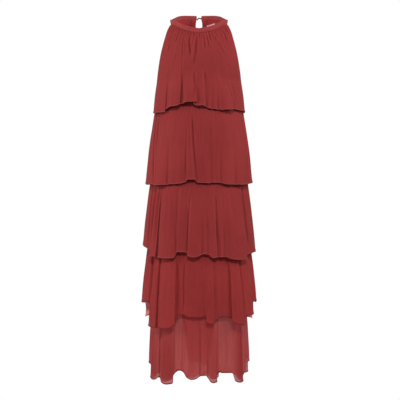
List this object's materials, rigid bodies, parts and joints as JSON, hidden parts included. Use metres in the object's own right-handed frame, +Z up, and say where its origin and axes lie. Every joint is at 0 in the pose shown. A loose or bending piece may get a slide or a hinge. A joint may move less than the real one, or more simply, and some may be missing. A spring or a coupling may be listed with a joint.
{
  "type": "midi dress",
  "caption": "Sleeveless halter midi dress in its worn, hollow form: gathered bodice and overlapping flounces sewn to a slip, with a keyhole back.",
  "frame": {"origin": "middle of the neck opening, where the wearer's neck holds the dress", "axes": "+Z up along the dress, +Y towards the back, +X towards the wearer's left"},
  "size_m": [0.3888, 0.3262, 1.2763],
  "materials": {
    "chiffon": "matt dark red chiffon, slightly sheer",
    "slip": "matt dark red lining cloth",
    "neckband": "folded dark red cloth",
    "label": "blank pale woven tape",
    "button": "button covered in the dress's cloth",
    "loop": "thin turned cloth cord"
  },
  "bodies": {
    "root": {"neckband": "neckband", "tier1_front": "chiffon", "tier1_back_right": "chiffon", "tier1_back_left": "chiffon", "tier2_front": "chiffon", "tier2_back": "chiffon", "tier3_front": "chiffon", "tier3_back": "chiffon", "tier4_front": "chiffon", "tier4_back": "chiffon", "tier5_front": "chiffon", "tier5_back": "chiffon", "slip_bodice_front": "slip", "slip_bodice_back_right": "slip", "slip_bodice_back_left": "slip", "slip_skirt_front": "slip", "slip_skirt_back": "slip", "keyhole_facing": "neckband", "label": "label", "button": "button", "button_loop": "loop"}
  },
  "joints": []
}
